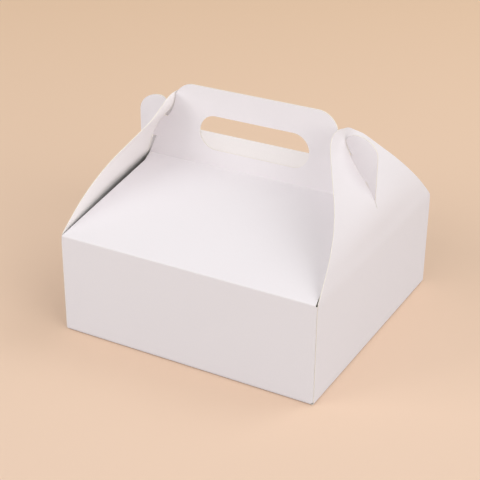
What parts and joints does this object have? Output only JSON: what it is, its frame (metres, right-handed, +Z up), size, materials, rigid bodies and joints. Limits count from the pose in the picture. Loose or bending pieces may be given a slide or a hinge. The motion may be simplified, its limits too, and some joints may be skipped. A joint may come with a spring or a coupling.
{
  "type": "cake carrier box",
  "caption": "White folded paperboard cake box with sloping lids, an upright finger-hole handle and slit side wings that lock over the handle's ears.",
  "frame": {"origin": "middle of the base's underside, on the surface that the box stands on", "axes": "+X along the front wall and the handle, to the right seen from the front; +Y from the front wall to the back wall; +Z up"},
  "size_m": [0.2, 0.198, 0.166],
  "materials": {
    "white_board": "matt"
  },
  "bodies": {
    "carton": {"carton": "white_board"},
    "left_wing": {"left_wing": "white_board"},
    "right_wing": {"right_wing": "white_board"}
  },
  "joints": [
    {"name": "left_wing_crease", "type": "hinge", "parent": "carton", "child": "left_wing", "pos_m": [-0.1, 0, 0.076], "axis": [0, -1, 0], "range_deg": [0, 110]},
    {"name": "right_wing_crease", "type": "hinge", "parent": "carton", "child": "right_wing", "pos_m": [0.1, 0, 0.076], "axis": [0, 1, 0], "range_deg": [0, 110]}
  ]
}
